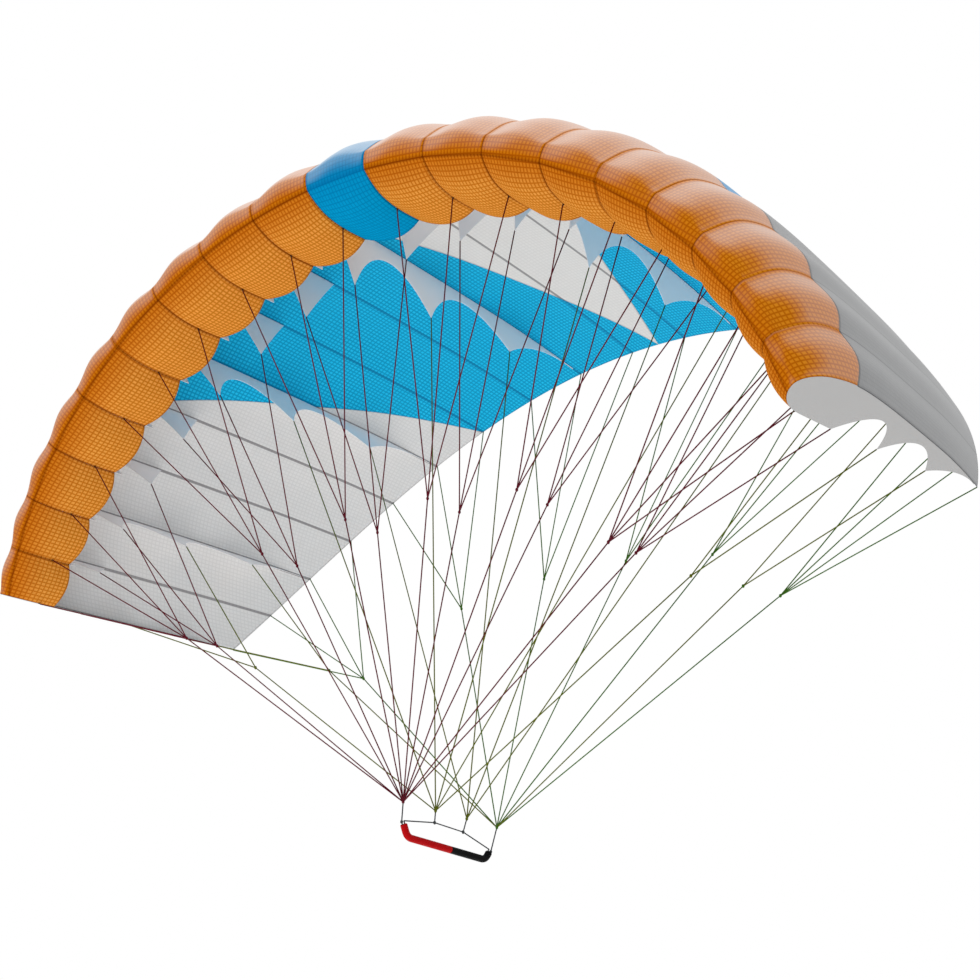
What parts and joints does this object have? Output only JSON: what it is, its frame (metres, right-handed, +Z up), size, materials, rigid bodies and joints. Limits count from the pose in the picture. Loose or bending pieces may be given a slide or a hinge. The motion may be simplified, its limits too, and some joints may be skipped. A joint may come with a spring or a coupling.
{
  "type": "parawing",
  "caption": "Arched single-skin fabric wing with billowed nose pockets, flat ribs, a fan of bridle lines and a short bent grip bar, held in one hand for wind sports.",
  "frame": {"origin": "middle of the bar's grip, where the rider's hand holds the wing", "axes": "+X along the span to the right as seen from behind, +Y from the nose to the trailing edge, +Z up"},
  "size_m": [3.048, 1.5783, 2.0341],
  "materials": {
    "orange_cloth": "matt ripstop weave",
    "blue_cloth": "matt ripstop weave",
    "pale_cloth": "matt ripstop weave",
    "tip_cloth": "matt ripstop weave",
    "rib_cloth": "matt plain cloth",
    "red_line": "bare braided line",
    "olive_line": "bare braided line",
    "green_line": "bare braided line",
    "grey_line": "bare braided line",
    "red_grip": "matt foam grip",
    "black_grip": "matt foam grip"
  },
  "bodies": {
    "root": {"leading_edge_00": "orange_cloth", "leading_edge_01": "orange_cloth", "leading_edge_02": "orange_cloth", "leading_edge_03": "orange_cloth", "leading_edge_04": "orange_cloth", "leading_edge_05": "orange_cloth", "leading_edge_06": "orange_cloth", "leading_edge_07": "orange_cloth", "leading_edge_08": "orange_cloth", "leading_edge_09": "blue_cloth", "leading_edge_10": "orange_cloth", "leading_edge_11": "orange_cloth", "leading_edge_12": "orange_cloth", "leading_edge_13": "orange_cloth", "leading_edge_14": "orange_cloth", "leading_edge_15": "orange_cloth", "leading_edge_16": "orange_cloth", "leading_edge_17": "orange_cloth", "leading_edge_18": "orange_cloth", "rib_00": "rib_cloth", "rib_01": "rib_cloth", "rib_02": "rib_cloth", "rib_03": "rib_cloth", "rib_04": "rib_cloth", "rib_05": "rib_cloth", "rib_06": "rib_cloth", "rib_07": "rib_cloth", "rib_08": "rib_cloth", "rib_09": "rib_cloth", "rib_10": "rib_cloth", "rib_11": "rib_cloth", "rib_12": "rib_cloth", "rib_13": "rib_cloth", "rib_14": "rib_cloth", "rib_15": "rib_cloth", "rib_16": "rib_cloth", "rib_17": "rib_cloth", "rib_18": "rib_cloth", "rib_19": "rib_cloth", "skin_tip_left": "tip_cloth", "skin_blue_left": "blue_cloth", "skin_centre": "pale_cloth", "skin_blue_right": "blue_cloth", "skin_tip_right": "tip_cloth", "bridle_front": "red_line", "bridle_c": "olive_line", "bridle_d": "olive_line", "bridle_rear": "green_line", "bar_front": "red_grip", "bar_rear": "black_grip", "bar_line": "grey_line", "front_pigtail": "grey_line", "rear_pigtail": "grey_line"}
  },
  "joints": []
}
